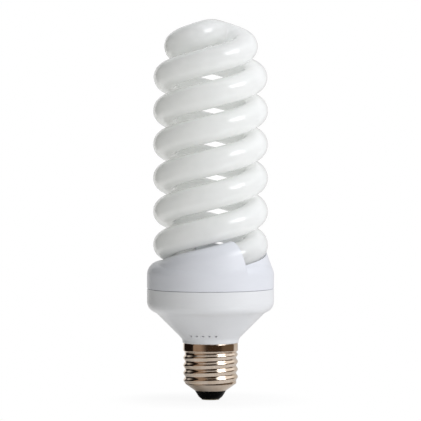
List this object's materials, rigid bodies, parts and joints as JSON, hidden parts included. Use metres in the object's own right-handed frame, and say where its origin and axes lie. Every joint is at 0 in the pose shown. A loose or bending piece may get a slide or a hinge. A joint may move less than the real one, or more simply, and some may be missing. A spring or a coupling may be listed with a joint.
{
  "type": "spiral energy saving bulb",
  "caption": "Full-spiral compact fluorescent lamp: double-helix glass tube, two-part ballast housing with helical sockets, and an E27 screw cap.",
  "frame": {"origin": "on the lamp's axis at the outer face of the centre contact, the lowest point", "axes": "+Z along the lamp's axis from the cap to the glass; the front faces -Y, and the mouth of the front socket opens 32 degrees to its right"},
  "size_m": [0.0604, 0.0604, 0.1813],
  "materials": {
    "lamp_glass": "gloss, white phosphor behind clear glass",
    "white_plastic": "fine satin gloss",
    "white_plastic_lower": "fine satin gloss",
    "cement": "matt",
    "nickel_plate": "bright nickel plate on brass",
    "black_glass": "gloss black glass",
    "contact_brass": "bright",
    "solder": "dull tin",
    "board": "paper laminate",
    "ferrite": "dark sintered",
    "bobbin_plastic": "matt black",
    "winding_tape": "yellow tape over the winding",
    "capacitor_sleeve": "shrunk sleeve",
    "film_epoxy": "dipped epoxy",
    "package_black": "moulded epoxy",
    "copper_wire": "enamelled copper",
    "resistor_coat": "lacquer",
    "trigger_glass": "blue glass body",
    "tinned_wire": "tinned",
    "fuse_coat": "lacquer",
    "wire_sleeve": "insulation"
  },
  "bodies": {
    "root": {"spiral_tube": "lamp_glass", "tube_cover": "white_plastic", "tube_cement": "cement", "ballast_housing": "white_plastic_lower", "screw_shell": "nickel_plate", "cap_insulator": "black_glass", "centre_contact": "contact_brass", "contact_solder": "solder", "circuit_board": "board", "choke_core": "ferrite", "choke_bobbin": "bobbin_plastic", "choke_winding": "winding_tape", "drive_ring": "ferrite", "drive_windings": "copper_wire", "wrap_pins": "tinned_wire", "lead_in_wires": "tinned_wire", "fuse_resistor": "fuse_coat", "live_wire": "wire_sleeve", "neutral_wire": "wire_sleeve", "smoothing_capacitor": "capacitor_sleeve", "power_transistors": "package_black", "film_capacitors": "film_epoxy", "filter_choke": "copper_wire", "rectifier_diodes": "package_black", "resistors": "resistor_coat", "trigger_diode": "trigger_glass"}
  },
  "joints": []
}
